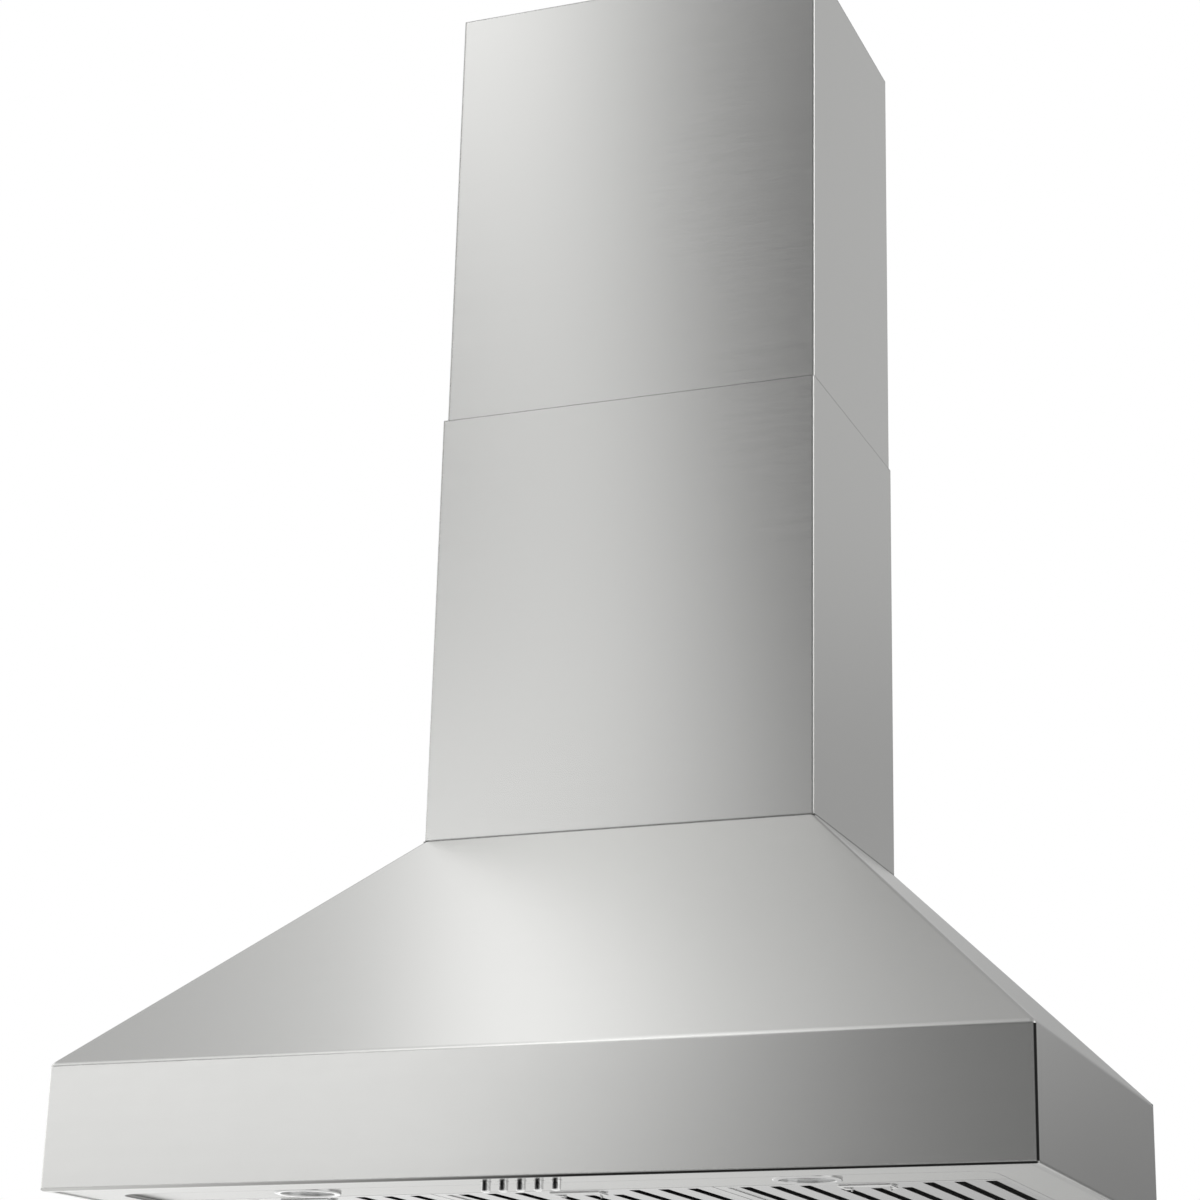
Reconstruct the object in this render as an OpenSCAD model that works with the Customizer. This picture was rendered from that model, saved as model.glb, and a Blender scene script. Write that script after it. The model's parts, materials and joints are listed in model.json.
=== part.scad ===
// Wall-mounted chimney range hood: a sloped canopy with an upright rim, a telescoping
// two-piece chimney, three baffle filters with wire handles, two round lights, five push
// buttons, and a double-inlet blower that blows up through a collar with damper flaps.
// X runs to the right, Y back to the wall at y = 0, and Z up.
// The origin is the centre of the four wall screws, on the wall.

/* [Canopy] */
// Width of the canopy at its rim
canopy_w = 914; // [840:1:1060]
// Depth of the canopy from the wall to its front
canopy_d = 506; // [490:1:560]
// Height of the upright rim
rim_h = 114; // [95:1:150]
// Height of the sloped part above the rim
slope_h = 242; // [225:1:300]
// Thickness of the canopy and chimney sheet
sheet = 1; // [0.8:0.1:1.2]
// Thickness of the back panel
back_t = 1.5; // [1:0.1:2.5]
// Width of the folded hem under the rim
hem_w = 8; // [5:0.5:12]

/* [Wall screws] */
// Height of the wall screws' centre above the rim's lower edge
screw_height = 200; // [190:1:215]
// Distance between the left and right wall screws
screw_span = 406; // [380:1:440]
// Distance between the upper and lower wall screws
screw_rise = 120; // [90:1:130]
// Radius of each wall screw hole
screw_hole_r = 4; // [3:0.5:5]

/* [Chimney] */
// Width of the lower chimney
chimney_w = 400; // [360:1:440]
// Depth of the lower chimney from the wall
chimney_d = 278; // [272:1:310]
// Height of the lower chimney above the canopy
lower_h = 444; // [420:1:520]
// Height of the upper chimney that shows above the lower one
upper_shown = 468; // [400:1:520]
// Length of the upper chimney that stays inside the lower one
upper_lap = 40; // [30:1:80]
// Gap between the upper and the lower chimney at their sides
side_gap = 0.5; // [0.4:0.1:3]
// Gap between the upper and the lower chimney at their fronts
front_gap = 6; // [2:0.5:8]
// Width of the chimneys' folded back edges
back_fold = 20; // [12:1:30]
// Outer radius of the chimneys' folds
bend_r = 2; // [1.5:0.1:3]
// Height of the seat that locates the lower chimney
seat_h = 25; // [15:1:30]

/* [Underside] */
// Width of the border at the left and the right
border_side = 50; // [40:1:60]
// Width of the border at the front
border_front = 50; // [45:1:60]
// Width of the border at the wall
border_back = 50; // [40:1:55]
// Height of the recess above the border
recess_rise = 3.3; // [2.6:0.1:6]
// Corner radius of the recess
recess_r = 20; // [8:1:20]
// Depth of the strip that carries the lights
light_strip = 87; // [82:1:95]
// Width of the ledge that the filters' back edges hook over
ledge_w = 11; // [9:0.5:14]
// Width of the strip beside the outer filters
side_strip = 2.5; // [1.5:0.5:6]

/* [Filters] */
// Gap around each filter
filter_gap = 1; // [0.8:0.1:1.5]
// Height of each filter
filter_h = 13; // [12:0.5:16]
// Width of the filter frame's folded lips
frame_lip = 10; // [8:0.5:12]
// Thickness of the filter sheets
filter_t = 0.8; // [0.6:0.1:1]
// Distance from slot to slot
slot_pitch = 27.6; // [24:0.2:32]
// Width of each slot
slot_w = 10; // [8:0.5:12]
// Height of the slots' upturned edges
slot_lip = 5; // [4:0.5:6]
// Width of each upper baffle
baffle_w = 18; // [16:0.5:20]
// Height of each upper baffle
baffle_h = 7; // [6.5:0.5:8]
// Depth of the plain field that carries the handle
handle_field = 38; // [34:1:50]

/* [Handles] */
// Width of each wire handle
handle_w = 48; // [40:1:60]
// Reach of each wire handle from its pivot
handle_reach = 22; // [18:1:24]
// Radius of the handle wire
wire_r = 1.25; // [1:0.05:1.5]
// Length of the wire ends in their ears
wire_end = 6; // [5:0.5:8]
// Thickness of the handle ears
ear_t = 1; // [0.8:0.1:1.5]

/* [Lights] */
// Distance of each light from the recess's side
light_inset = 171; // [120:1:215]
// Radius of the light's bezel
bezel_r = 30; // [28:0.5:34]
// Thickness of the bezel's rim
bezel_t = 2.5; // [2:0.1:3]
// Width of the bezel's rim
bezel_rim = 6; // [5:0.5:7]
// Height of the light's housing
lamp_h = 24; // [18:1:35]
// Thickness of the lens
lens_t = 2; // [1.5:0.1:3]

/* [Buttons] */
// Distance from button to button
button_pitch = 16.3; // [14:0.1:20]
// Distance of the buttons from the canopy's front
button_set_back = 30; // [26:0.5:34]
// Radius of each button
button_r = 4; // [3.5:0.1:5]
// Length of each button below the border
button_drop = 9; // [7:0.5:12]
// Travel of each button
button_travel = 3; // [2:0.5:4]

/* [Blower] */
// Outer radius of the blower wheel
wheel_r = 88; // [80:1:92]
// Width of the blower wheel
wheel_w = 118; // [100:1:122]
// Number of blades on the wheel
blades = 36; // [24:1:48]
// Radial depth of the blades
blade_d = 16; // [12:1:20]
// Gap between the wheel and the scroll at its tongue
tongue_gap = 12; // [9:0.5:14]
// Growth of the scroll's radius round the wheel
scroll_growth = 52; // [40:1:56]
// Height of the wheel's axis above the rim's lower edge
blower_z = 172; // [165:1:180]
// Width of the blower's housing
scroll_w = 140; // [138:1:160]
// Radius of the motor
motor_r = 46; // [40:1:50]
// Length of the motor
motor_l = 76; // [60:1:80]
// Radius of the motor's shaft
shaft_r = 4; // [3:0.5:5]

/* [Exhaust collar] */
// Outer radius of the duct collar
collar_r = 75; // [70:1:78]
// Height of the duct collar
collar_h = 50; // [40:1:60]
// Wall thickness of the collar
collar_t = 1.5; // [1:0.1:2]

/* [Hidden] */

$fn = 64;

// Overrun of every cut beyond the face that it opens
cut = 1;
// Running clearance between a shaft or wire and its hole, on the radius
running = 0.05;
// Clearance between parts that lie side by side
loose = 0.3;

// Heights above the rim's lower edge
canopy_h = rim_h + slope_h;
lower_top = canopy_h + lower_h;
upper_top = lower_top + upper_shown;
upper_bottom = lower_top - upper_lap;
rim_z = -screw_height;
pan_z = sheet;
deck_z = pan_z + recess_rise;
deck_top = deck_z + sheet;
ceiling_z = canopy_h - sheet;

// Underside places, as distances from the wall and half widths
recess_half = canopy_w / 2 - border_side;
recess_front = canopy_d - border_front;
opening_half = recess_half - side_strip;
opening_front = recess_front - light_strip;
opening_back = border_back + ledge_w;
light_x = recess_half - light_inset;
light_y = -(recess_front + opening_front) / 2;
button_y = -canopy_d + button_set_back;

// Filter sizes
filter_pitch = 2 * opening_half / 3;
filter_w = filter_pitch - filter_gap;
filter_d = opening_front - opening_back - 2 * filter_gap;
filter_mid_y = -(opening_front + opening_back) / 2;
face_z = deck_z + filter_t;
slot_count = floor((filter_w - 2 * frame_lip + slot_pitch - slot_w) / slot_pitch);
slot_margin = frame_lip + 2 * filter_t;
tongue_reach = ledge_w - 2 * filter_gap;

// Handle places
handle_z = face_z - loose - wire_r;
handle_bar_y = filter_mid_y - filter_d / 2 + frame_lip + 2 * wire_r;
handle_pivot_y = handle_bar_y + handle_reach;
arm_x = handle_w / 2 - wire_r;
ear_x = arm_x - wire_end + ear_t;
ear_r = 2.2 * wire_r;

// Light sizes
lamp_bore = bezel_r - bezel_rim;
sleeve_r = bezel_r - bezel_rim / 2;
sleeve_t = bezel_rim / 4;
lens_z = deck_z;

// Button and switch sizes
button_count = 5;
button_collar_r = button_r + 1.5 * sheet;
button_collar_h = 1.5 * sheet;
button_stem_r = button_r / 2;
button_bottom = pan_z - button_drop;
pan_top = pan_z + sheet;
switch_pocket = button_travel + button_collar_h + 2 * loose;
switch_h = 6 * button_travel;
switch_w = (button_count + 1) * button_pitch;
switch_d = 6 * button_r;

// Blower places and sizes
scroll_start = wheel_r + tongue_gap;
scroll_end = scroll_start + scroll_growth;
collar_y = -chimney_d / 2;
blower_y = collar_y - scroll_end / 2;
inlet_r = wheel_r - blade_d;
bell_r = (scroll_w / 2 - sheet - wheel_w / 2) - 3 * sheet;
ring_t = 2 * sheet;
hub_r = 3 * shaft_r;
hub_l = 6 * shaft_r;
nut_h = 1.6 * shaft_r;
motor_x = hub_l / 2 + sheet;

// Motor bracket: width and thickness of its arms, and where they stand
bracket_arm = 16;
bracket_t = 2;
arm_turns = [90, 210, 330];

// Blade thickness, the angle that a blade leans over, and the steps of its bend
blade_t = 0.8;
blade_lean = 38;
blade_steps = 4;

// Fastener sizes
machine_r = 2;
machine_head_r = 4;
machine_head_h = 2.4;
machine_slot = 0.8;
screw_l = 6;

// Collar places
flange_t = 1.5;
collar_border = 20;
collar_half = collar_r + collar_border;
collar_base = canopy_h;
damper_z = collar_base + collar_h / 2;
damper_pin_r = 1.5;
damper_bore = damper_pin_r + running;
knuckle_wall = 1;
knuckle_r = damper_pin_r + knuckle_wall;
flap_t = 0.8;
flap_edge_gap = 1;
flap_r = collar_r - collar_t - flap_edge_gap;
flap_gap = knuckle_r + flap_t;
collar_screw_place = collar_half - 1.5 * machine_head_r;

// Cord bushing in the canopy's top
bushing_bore = 5;
bushing_r = 8;
bushing_flange = 11;
bushing_x = chimney_w / 2 - 2 * back_fold;
bushing_y = -2 * back_fold;

// Electrical box and capacitor on the back panel
box_w = 110;
box_d = 34;
box_h = 62;
box_x = -(screw_span / 2 + box_w);
box_z = 44;
box_ear = 4 * machine_head_r;
capacitor_r = 18;
capacitor_h = 62;
capacitor_x = screw_span / 2 + 3.5 * capacitor_r;
clamp_t = 1.2;
clamp_h = 14;
clamp_ear = 14;

// Upper chimney bracket
wall_bracket_h = 36;
wall_bracket_t = 1.5;
bracket_rib = 20;
bracket_span = 240;
bracket_drop = 14;
upper_half = chimney_w / 2 - sheet - side_gap;
upper_front = chimney_d - sheet - front_gap;
upper_back = sheet + sheet / 2;
bracket_z = upper_top - bracket_drop - wall_bracket_h;
bracket_tab_y = -(upper_back + sheet);
bracket_step = upper_half - back_fold - 2 * wall_bracket_t;

// Helper modules
module at_rim() {
    translate([0, 0, rim_z]) children();
}

// Outline in Y and Z, drawn out along X and centred
module x_prism(points, width) {
    translate([-width / 2, 0, 0])
        rotate([90, 0, 90])
            linear_extrude(height = width) polygon(points);
}

// Outline in X and Z, drawn out from the wall towards the front
module y_prism(points, depth) {
    rotate([90, 0, 0]) linear_extrude(height = depth) polygon(points);
}

// Box between two corners
module span_box(low, high) {
    translate(low) cube(high - low);
}

// Block with rounded upright edges, centred in X and Y
module round_block(w, d, h, r) {
    union() {
        translate([-w / 2 + r, -d / 2, 0]) cube([w - 2 * r, d, h]);
        translate([-w / 2, -d / 2 + r, 0]) cube([w, d - 2 * r, h]);
        for (x = [-1, 1], y = [-1, 1])
            translate([x * (w / 2 - r), y * (d / 2 - r), 0]) cylinder(r = r, h = h);
    }
}

// Screw whose head's underside is at the origin, with the shank going down
module screw(shank) {
    difference() {
        union() {
            cylinder(r = machine_head_r, h = machine_head_h);
            translate([0, 0, -shank]) cylinder(r = machine_r, h = shank + machine_head_h / 2);
        }
        for (turn = [0, 90])
            rotate([0, 0, turn])
                translate([-machine_head_r / 2, -machine_slot / 2, machine_head_h / 2])
                    cube([machine_head_r, machine_slot, machine_head_h]);
    }
}

// Canopy geometry: a flare goes from base to top, measured from the middle or from the wall
function flare_slope(base, top) = (base - top) / slope_h;
function flare_skew(base, top) = sqrt(1 + pow(flare_slope(base, top), 2));
function flare_bend(base, top, t) =
    rim_h + (t == 0 ? 0 : t * (1 - flare_skew(base, top)) / flare_slope(base, top));
function flare_reach(base, top, t) = top + flare_slope(base, top) * t - t * flare_skew(base, top);

// Width outline of the canopy, t inside its outer faces
function canopy_front_outline(t, low) =
    let (
        base = canopy_w / 2,
        top = chimney_w / 2,
        bend = flare_bend(base, top, t),
        reach = flare_reach(base, top, t)
    )
    [
        [-(base - t), low], [base - t, low], [base - t, bend],
        [reach, canopy_h - t], [-reach, canopy_h - t], [-(base - t), bend]
    ];

// Depth outline of the canopy, t inside its outer faces
function canopy_side_outline(t, low, back) =
    let (
        bend = flare_bend(canopy_d, chimney_d, t),
        reach = flare_reach(canopy_d, chimney_d, t)
    )
    [
        [back, low], [-(canopy_d - t), low], [-(canopy_d - t), bend],
        [-reach, canopy_h - t], [back, canopy_h - t]
    ];

module canopy_solid(t, low, back) {
    intersection() {
        x_prism(canopy_side_outline(t, low, back), canopy_w);
        translate([0, back, 0]) y_prism(canopy_front_outline(t, low), canopy_d + back);
    }
}

// Places of the collar's screws, at the height of the rim's lower edge
module collar_screw_places() {
    for (x = [-1, 1], y = [-1, 1])
        translate([x * collar_screw_place, collar_y + y * collar_screw_place, 0]) children();
}

module deck_holes(r) {
    collar_screw_places() translate([0, 0, ceiling_z - cut]) cylinder(r = r, h = sheet + 2 * cut);
}

// Hem of the canopy between two corners of its lower edge
module hem(low, high) {
    span_box([low.x, low.y, 0], [high.x, high.y, sheet]);
}

// Front sheet: hem, rim and slope, from one side face to the other
module canopy_front() {
    inner = canopy_w / 2 - sheet;
    color("silver") at_rim() {
        difference() {
            canopy_solid(0, 0, -back_t);
            x_prism(canopy_side_outline(sheet, -cut, cut), canopy_w + cut);
            span_box([-canopy_w, -canopy_d, ceiling_z], [canopy_w, cut, canopy_h + cut]);
        }
        hem([-inner, -canopy_d], [inner, -canopy_d + sheet + hem_w]);
    }
}

// Side sheet: hem, rim and slope behind the front sheet, side is -1 or 1
module canopy_side(side) {
    inner = canopy_w / 2 - sheet;
    color("silver") at_rim() mirror([side < 0 ? 1 : 0, 0, 0]) {
        difference() {
            intersection() {
                x_prism(canopy_side_outline(sheet, 0, -back_t), canopy_w);
                y_prism(canopy_front_outline(0, 0), canopy_d);
            }
            translate([0, cut, 0]) y_prism(canopy_front_outline(sheet, -cut), canopy_d + 2 * cut);
            span_box([-canopy_w, -canopy_d, -cut], [0, cut, canopy_h]);
        }
        hem([inner - hem_w, -canopy_d + sheet + hem_w], [inner + sheet, -back_t]);
    }
}

// Top plate with the blower's outlet, the collar's screw holes and the cord hole
module canopy_top() {
    color("silver") at_rim() difference() {
        intersection() {
            canopy_solid(0, 0, -back_t);
            span_box([-canopy_w, -canopy_d, ceiling_z], [canopy_w, 0, canopy_h + cut]);
        }
        span_box(
            [-scroll_w / 2 + sheet, blower_y, ceiling_z - cut],
            [scroll_w / 2 - sheet, blower_y + scroll_end, canopy_h + cut]
        );
        deck_holes(machine_r + loose);
        translate([bushing_x, bushing_y, ceiling_z - cut])
            cylinder(r = bushing_r + loose / 2, h = sheet + 2 * cut);
    }
}

// Back panel with the four wall screw holes
module back_panel() {
    color("silver") at_rim() difference() {
        y_prism(canopy_front_outline(0, 0), back_t);
        for (x = [-1, 1], z = [-1, 1])
            translate([x * screw_span / 2, cut, screw_height + z * screw_rise / 2])
                rotate([90, 0, 0]) cylinder(r = screw_hole_r, h = back_t + 2 * cut);
    }
}

// Recess outline as a block from low to high, grown by extra on every side
module recess_block(extra, low, high) {
    translate([0, -(recess_front + border_back) / 2, low])
        round_block(
            2 * (recess_half + extra), recess_front - border_back + 2 * extra,
            high - low, recess_r + extra
        );
}

// Underside pan: border, recess, and the openings for filters, lights and buttons
module underside_pan() {
    color("gainsboro") at_rim() difference() {
        union() {
            span_box(
                [-canopy_w / 2 + sheet, -canopy_d + sheet, pan_z],
                [canopy_w / 2 - sheet, -back_t, pan_top]
            );
            recess_block(sheet, pan_z, deck_top);
        }
        recess_block(0, pan_z - cut, deck_z);
        span_box([-opening_half, -opening_front, 0], [opening_half, -opening_back, deck_top + cut]);
        for (side = [-1, 1])
            translate([side * light_x, light_y, 0])
                cylinder(r = sleeve_r + loose, h = deck_top + cut);
        for (i = [0 : button_count - 1])
            translate([button_x(i), button_y, 0]) cylinder(r = button_r + loose, h = pan_top + cut);
    }
}

// Block as wide and deep as a chimney, with upright edges of radius r
module chimney_block(half, front, back, low, high, r) {
    translate([0, -(front + back) / 2, low]) round_block(2 * half, front - back, high - low, r);
}

// Angle on the canopy's top that the lower chimney slips over
module chimney_seat() {
    half = chimney_w / 2 - sheet;
    front = chimney_d - sheet;
    color("darkgray") at_rim() difference() {
        chimney_block(half, front, back_t + sheet, canopy_h, canopy_h + seat_h, bend_r - sheet);
        span_box(
            [-half + sheet, -front + sheet, canopy_h + sheet],
            [half - sheet, cut, canopy_h + seat_h + cut]
        );
        span_box(
            [-half + seat_h, -front + seat_h, canopy_h - cut],
            [half - seat_h, cut, canopy_h + seat_h + cut]
        );
    }
}

// Chimney sleeve open at the top, the bottom and the wall, with folded back edges
module chimney_sleeve(half, front, back, low, high) {
    difference() {
        chimney_block(half, front, back, low, high, bend_r);
        chimney_block(half - sheet, front - sheet, back + sheet, low - cut, high + cut, bend_r - sheet);
        span_box([-half + back_fold, -back - 2 * sheet, low - cut], [half - back_fold, cut, high + cut]);
    }
}

module lower_chimney() {
    color("silver") at_rim()
        chimney_sleeve(chimney_w / 2, chimney_d, 0, canopy_h, lower_top);
}

module upper_chimney() {
    color("silver") at_rim() difference() {
        chimney_sleeve(upper_half, upper_front, upper_back, upper_bottom, upper_top);
        bracket_screw_places() translate([0, 0, -wall_bracket_t - sheet - cut])
            cylinder(r = machine_r + loose / 2, h = sheet + 2 * cut);
    }
}

// Places of the screws through the bracket's tabs, with Z pointing to the front
module bracket_screw_places() {
    for (side = [-1, 1])
        translate([
            side * (upper_half - back_fold / 2), bracket_tab_y - wall_bracket_t,
            bracket_z + wall_bracket_h / 2
        ]) rotate([90, 0, 0]) children();
}

// Wall bracket: a ribbed bar whose ends step forward over the upper chimney's folds
module chimney_bracket() {
    inner = upper_half - bend_r;
    high = bracket_z + wall_bracket_h;
    color("darkgray") at_rim() difference() {
        union() {
            span_box([-bracket_step, -wall_bracket_t, bracket_z], [bracket_step, 0, high]);
            span_box([-bracket_step, -bracket_rib, high - wall_bracket_t], [bracket_step, 0, high]);
            for (side = [0, 1]) mirror([side, 0, 0]) {
                span_box(
                    [bracket_step - wall_bracket_t, bracket_tab_y - wall_bracket_t, bracket_z],
                    [bracket_step, 0, high]
                );
                span_box(
                    [bracket_step - wall_bracket_t, bracket_tab_y - wall_bracket_t, bracket_z],
                    [inner, bracket_tab_y, high]
                );
            }
        }
        bracket_screw_places() translate([0, 0, -wall_bracket_t - cut])
            cylinder(r = machine_r + loose / 2, h = wall_bracket_t + 2 * cut);
        for (side = [-1, 1])
            translate([side * bracket_span / 2, cut, bracket_z + wall_bracket_h / 2])
                rotate([90, 0, 0]) cylinder(r = screw_hole_r, h = wall_bracket_t + 2 * cut);
    }
}

module bracket_screws() {
    color("gainsboro") at_rim() bracket_screw_places() screw(wall_bracket_t + sheet + upper_back - loose);
}

// Leaf clips that grip the filters' front edges, two to each filter
module filter_clips() {
    leaf = sheet / 2;
    front_wall = -opening_front + filter_gap - loose;
    color("darkgray") at_rim()
        for (i = [-1 : 1], side = [-1, 1])
            translate([i * filter_pitch + side * filter_pitch / 4, 0, deck_top]) {
                span_box([-frame_lip, -opening_front - 2 * frame_lip, 0], [frame_lip, front_wall, leaf]);
                span_box([-frame_lip, front_wall - leaf, 0], [frame_lip, front_wall, filter_h - 2 * sheet]);
            }
}

// Blower scroll, its spiral opening upwards at the back
function scroll_radius(a) = scroll_start + scroll_growth * (a - 90) / 270;
function scroll_point(a, extra) =
    [blower_y + (scroll_radius(a) + extra) * cos(a), blower_z + (scroll_radius(a) + extra) * sin(a)];
function scroll_outline(extra, top) = concat(
    [for (a = [99 : 9 : 360]) scroll_point(a, extra)],
    [
        [blower_y + scroll_end + extra, top], [blower_y - extra, top],
        [blower_y - extra, blower_z + scroll_start + extra]
    ]
);
function scroll_cavity(top) = concat(
    [for (a = [90 : 9 : 360]) scroll_point(a, 0)],
    [[blower_y + scroll_end, top], [blower_y, top]]
);

module scroll_wrap() {
    flange_z = ceiling_z - sheet;
    color("lightgray") at_rim() {
        difference() {
            x_prism(scroll_outline(sheet, flange_z), scroll_w - 2 * sheet);
            x_prism(scroll_cavity(ceiling_z), scroll_w + cut);
        }
        difference() {
            span_box(
                [-collar_half, collar_y - collar_half, flange_z],
                [collar_half, collar_y + collar_half, ceiling_z]
            );
            span_box(
                [-scroll_w / 2 + sheet, blower_y, flange_z - cut],
                [scroll_w / 2 - sheet, blower_y + scroll_end, ceiling_z + cut]
            );
            deck_holes(machine_r + loose);
        }
    }
}

// Side plate of the scroll with its bell-mouthed inlet, side is -1 or 1
module scroll_side(side) {
    inner = scroll_w / 2 - sheet;
    color("lightgray") at_rim() mirror([side < 0 ? 1 : 0, 0, 0]) {
        difference() {
            translate([inner + sheet / 2, 0, 0]) x_prism(scroll_outline(sheet, ceiling_z - sheet), sheet);
            translate([inner - cut, blower_y, blower_z])
                rotate([0, 90, 0]) cylinder(r = inlet_r + bell_r - sheet, h = sheet + 2 * cut);
            if (side > 0) motor_screw_places() translate([0, 0, -sheet - cut])
                cylinder(r = machine_r + loose / 2, h = sheet + 2 * cut);
        }
        translate([scroll_w / 2, blower_y, blower_z]) rotate([0, -90, 0])
            rotate_extrude() difference() {
                intersection() {
                    translate([inlet_r, 0]) square([bell_r, bell_r]);
                    translate([inlet_r + bell_r, bell_r]) circle(r = bell_r);
                }
                translate([inlet_r + bell_r, bell_r]) circle(r = bell_r - sheet);
            }
    }
}

// Forward-curved blade as a bent strip between the wheel's inner and outer radius
function blade_mid(s) =
    let (r = inlet_r + s * blade_d, turn = blade_lean / 2 * s * s)
    [r * cos(turn), r * sin(turn)];
function blade_edge(s, offset) = blade_mid(s) + [0, offset];
blade_points = concat(
    [for (i = [0 : blade_steps]) blade_edge(i / blade_steps, 0)],
    [for (i = [blade_steps : -1 : 0]) blade_edge(i / blade_steps, blade_t)]
);

module at_wheel() {
    at_rim() translate([0, blower_y, blower_z]) rotate([0, 90, 0]) children();
}

// Middle disc of the double-inlet wheel, with its hub
module impeller_disc() {
    color("dimgray") at_wheel() difference() {
        union() {
            translate([0, 0, -sheet]) cylinder(r = wheel_r, h = 2 * sheet);
            translate([0, 0, -hub_l / 2]) cylinder(r = hub_r, h = hub_l);
        }
        translate([0, 0, -hub_l]) cylinder(r = shaft_r + running, h = 2 * hub_l);
    }
}

// Two cages of forward-curved blades, one on each face of the disc, each with its end ring
module impeller_blades() {
    cage_l = wheel_w / 2 - sheet;
    color("dimgray") at_wheel()
        for (side = [0, 1]) mirror([0, 0, side]) translate([0, 0, sheet]) {
            translate([0, 0, cage_l - ring_t]) difference() {
                cylinder(r = wheel_r + sheet, h = ring_t);
                translate([0, 0, -cut]) cylinder(r = inlet_r, h = ring_t + 2 * cut);
            }
            for (i = [0 : blades - 1])
                rotate([0, 0, i * 360 / blades])
                    linear_extrude(height = cage_l - ring_t / 2) polygon(blade_points);
        }
}

module motor_shaft() {
    color("gainsboro") at_wheel() translate([0, 0, -hub_l / 2 - nut_h - 2 * sheet])
        cylinder(r = shaft_r, h = hub_l / 2 + nut_h + 2 * sheet + motor_x + motor_l + 2 * sheet);
}

module shaft_nut() {
    color("gainsboro") at_wheel() translate([0, 0, -hub_l / 2 - nut_h]) difference() {
        cylinder(r = 1.8 * shaft_r, h = nut_h, $fn = 6);
        translate([0, 0, -cut]) cylinder(r = shaft_r + running, h = nut_h + 2 * cut);
    }
}

// Motor with its end bells and a clear bore for the shaft
module motor() {
    step = motor_r / 6;
    half = [
        [shaft_r + running, 0], [motor_r / 3, 0], [motor_r / 3, step / 2], [motor_r - step, step / 2],
        [motor_r, 2 * step], [motor_r, motor_l - 2 * step], [motor_r - step, motor_l - step / 2],
        [motor_r / 3, motor_l - step / 2], [motor_r / 3, motor_l], [shaft_r + running, motor_l]
    ];
    color("slategray") at_wheel() translate([0, 0, motor_x]) rotate_extrude() polygon(half);
}

// Places of the motor bracket's screws on the right side plate, with Z pointing out
module motor_screw_places() {
    for (turn = arm_turns)
        translate([scroll_w / 2, blower_y, blower_z])
            rotate([turn, 0, 0])
                translate([0, inlet_r + bell_r + bracket_arm / 2, 0])
                    rotate([0, 90, 0]) children();
}

// Three-armed bracket: a ring round the motor's end, arms, and feet on the side plate
module motor_bracket() {
    ring_x = motor_x + motor_l - 2 * motor_r / 6;
    arm_end = inlet_r + bell_r + bracket_arm;
    color("darkgray") at_rim() translate([0, blower_y, blower_z]) {
        difference() {
            union() {
                translate([ring_x - bracket_arm / 2, 0, 0]) rotate([0, 90, 0])
                    cylinder(r = motor_r + bracket_t, h = bracket_arm / 2);
                for (turn = arm_turns) rotate([turn, 0, 0]) {
                    span_box(
                        [ring_x - bracket_t, 0, -bracket_arm / 2],
                        [ring_x, arm_end - bracket_arm, bracket_arm / 2]
                    );
                    span_box(
                        [scroll_w / 2, arm_end - bracket_arm - bracket_t, -bracket_arm / 2],
                        [ring_x, arm_end - bracket_arm, bracket_arm / 2]
                    );
                    span_box(
                        [scroll_w / 2, arm_end - bracket_arm - bracket_t, -bracket_arm / 2],
                        [scroll_w / 2 + bracket_t, arm_end, bracket_arm / 2]
                    );
                }
            }
            translate([ring_x - bracket_arm, 0, 0]) rotate([0, 90, 0])
                cylinder(r = motor_r + running, h = 2 * bracket_arm);
            for (turn = arm_turns) rotate([turn, 0, 0])
                translate([scroll_w / 2 - cut, arm_end - bracket_arm / 2, 0]) rotate([0, 90, 0])
                    cylinder(r = machine_r + loose / 2, h = bracket_t + 2 * cut);
        }
    }
}

// Machine screws of the motor bracket, the duct collar and the wiring box, all alike
module machine_screws() {
    color("gainsboro") at_rim() {
        motor_screw_places() translate([0, 0, bracket_t]) screw(screw_l);
        collar_screw_places() translate([0, 0, collar_base + flange_t]) screw(screw_l);
        wiring_screw_places() screw(screw_l);
    }
}

module capacitor() {
    color("whitesmoke") at_rim()
        translate([capacitor_x, -back_t - clamp_t - capacitor_r, box_z]) {
            cylinder(r = capacitor_r, h = capacitor_h);
            for (x = [-1, 1])
                translate([x * capacitor_r / 3, 0, capacitor_h])
                    translate([-sheet, -2 * sheet, 0]) cube([2 * sheet, 4 * sheet, 6 * sheet]);
        }
}

// Strap round the capacitor, with its ears on the back panel
module capacitor_clamp() {
    centre_y = -back_t - clamp_t - capacitor_r;
    color("darkgray") at_rim() translate([capacitor_x, 0, box_z + capacitor_h / 2 - clamp_h / 2])
        difference() {
            union() {
                translate([0, centre_y, 0]) cylinder(r = capacitor_r + clamp_t, h = clamp_h);
                span_box(
                    [-capacitor_r - clamp_ear, -back_t - clamp_t, 0],
                    [capacitor_r + clamp_ear, -back_t, clamp_h]
                );
            }
            translate([0, centre_y, -cut]) cylinder(r = capacitor_r + running, h = clamp_h + 2 * cut);
            for (x = [-1, 1])
                translate([x * (capacitor_r + clamp_ear / 2), cut, clamp_h / 2])
                    rotate([90, 0, 0]) cylinder(r = machine_r, h = back_t + clamp_t + 2 * cut);
        }
}

// Square flange under the duct collar
module collar_flange() {
    color("silver") at_rim() difference() {
        span_box(
            [-collar_half, collar_y - collar_half, collar_base],
            [collar_half, collar_y + collar_half, collar_base + flange_t]
        );
        translate([0, collar_y, collar_base - cut])
            cylinder(r = flap_r - 2 * collar_t, h = flange_t + 2 * cut);
        collar_screw_places() translate([0, 0, collar_base - cut])
            cylinder(r = machine_r + loose / 2, h = flange_t + 2 * cut);
    }
}

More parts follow.
